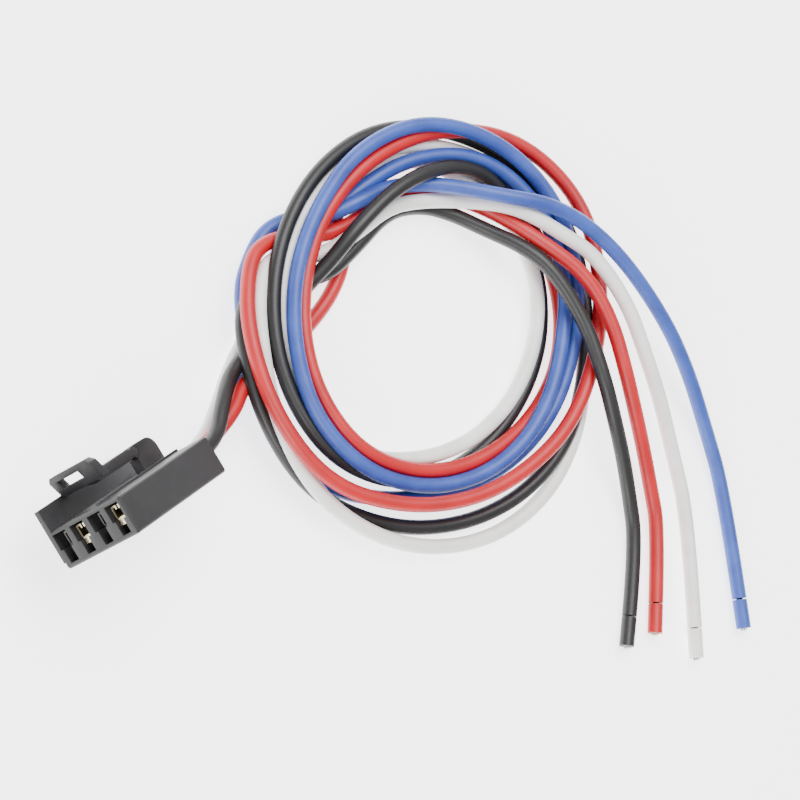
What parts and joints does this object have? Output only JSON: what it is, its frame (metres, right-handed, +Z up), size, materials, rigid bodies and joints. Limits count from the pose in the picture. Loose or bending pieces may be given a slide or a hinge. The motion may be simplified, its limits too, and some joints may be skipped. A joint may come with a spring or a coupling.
{
  "type": "wiring harness pigtail with latching plug",
  "caption": "Flat moulded multi-way plug with a sprung latch and crimped receptacle terminals, on single wires that lie in a loose round coil and end cut.",
  "frame": {"origin": "On the floor, under the middle of the plug's own box (housing, latch and terminals, without the wires).", "axes": "+Z is up, +Y is the side of the plug that carries the latch, +X runs from the plug along the wires to the coil. The plug lies on one narrow edge with its mating face raised 27 degrees and facing -X."},
  "size_m": [0.1476, 0.1339, 0.0313],
  "materials": {
    "housing": "fine matt black, moulded",
    "terminal": "tin-plated sheet brass",
    "strands": "tinned copper strands",
    "insulation_black": "smooth soft vinyl",
    "insulation_red": "smooth soft vinyl",
    "insulation_white": "smooth soft vinyl",
    "insulation_blue": "smooth soft vinyl"
  },
  "bodies": {
    "plug": {"connector_housing": "housing", "terminal_black": "terminal", "crimped_core_black": "strands", "wire_lead_black": "insulation_black", "wire_tail_black": "insulation_black", "end_slug_black": "insulation_black", "end_strands_black": "strands", "terminal_red": "terminal", "crimped_core_red": "strands", "wire_lead_red": "insulation_red", "wire_tail_red": "insulation_red", "end_slug_red": "insulation_red", "end_strands_red": "strands", "terminal_white": "terminal", "crimped_core_white": "strands", "wire_lead_white": "insulation_white", "wire_tail_white": "insulation_white", "end_slug_white": "insulation_white", "end_strands_white": "strands", "terminal_blue": "terminal", "crimped_core_blue": "strands", "wire_lead_blue": "insulation_blue", "wire_tail_blue": "insulation_blue", "end_slug_blue": "insulation_blue", "end_strands_blue": "strands", "wire_bridge_black": "insulation_black", "wire_coil": "insulation_black"},
    "latch": {"latch_arm": "housing"}
  },
  "joints": [
    {"name": "latch_press", "type": "hinge", "parent": "plug", "child": "latch", "pos_m": [0.00644, 0.0039, 0.00964], "axis": [0.454, 0, 0.891], "range_deg": [0, 9], "stiffness_Nm_per_rad": 0.5}
  ]
}
